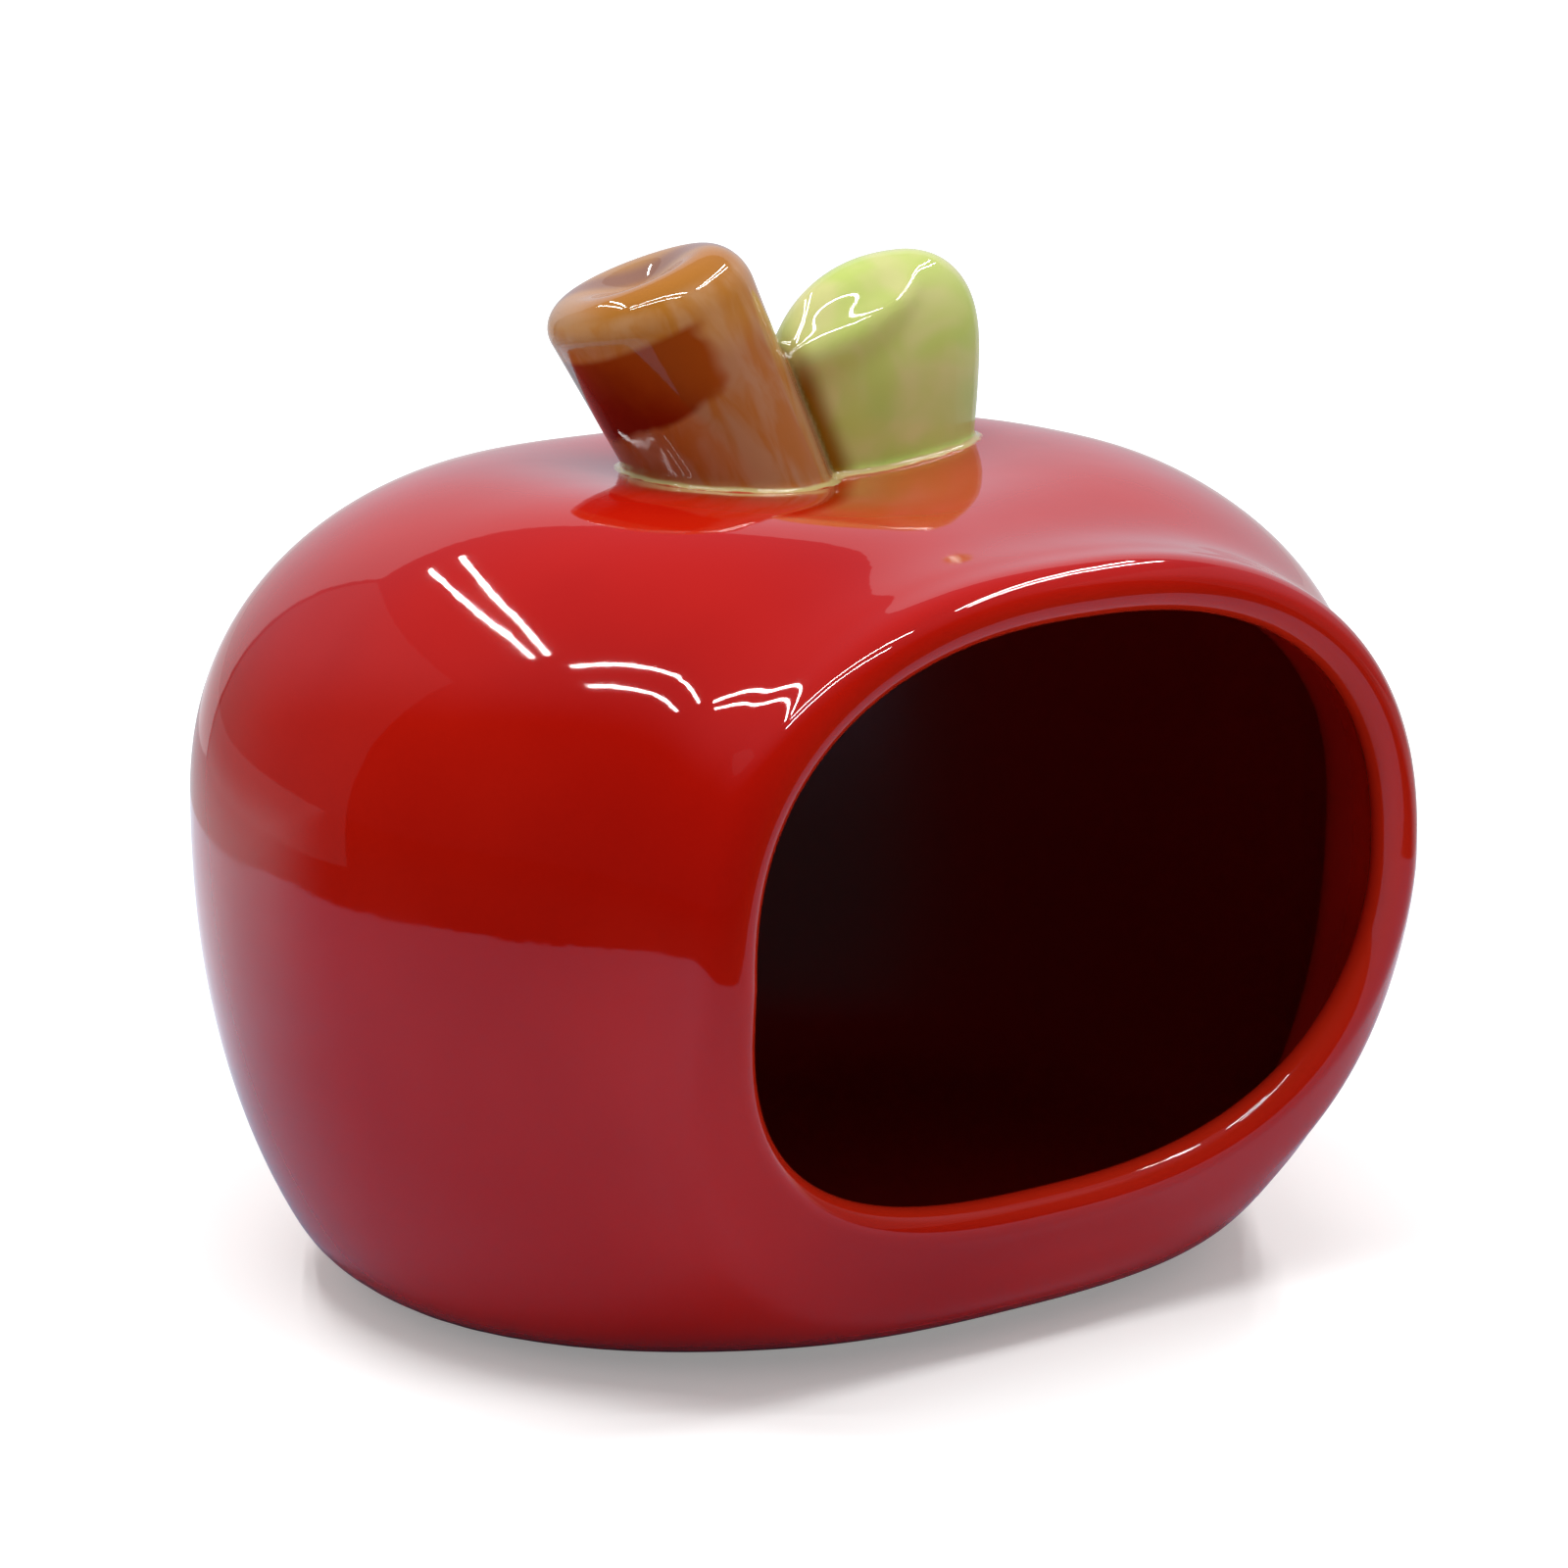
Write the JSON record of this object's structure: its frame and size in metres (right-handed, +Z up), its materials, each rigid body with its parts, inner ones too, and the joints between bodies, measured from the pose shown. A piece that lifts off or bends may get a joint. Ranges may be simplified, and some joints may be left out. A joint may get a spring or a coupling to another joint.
{
  "type": "small-pet hideout",
  "caption": "Glazed ceramic hideout in the shape of an apple: a hollow one-piece body with a wide oval doorway, a round lip, and a stem and leaf in the dimple on top.",
  "frame": {"origin": "middle of the flat foot, on the plane that the piece stands on", "axes": "+Z up, -Y out through the doorway, +X along the width of the body, to the right of someone who looks in through the doorway"},
  "size_m": [0.12, 0.101, 0.1019],
  "materials": {
    "red_glaze": "gloss"
  },
  "bodies": {
    "root": {"hideout": "red_glaze"}
  },
  "joints": []
}
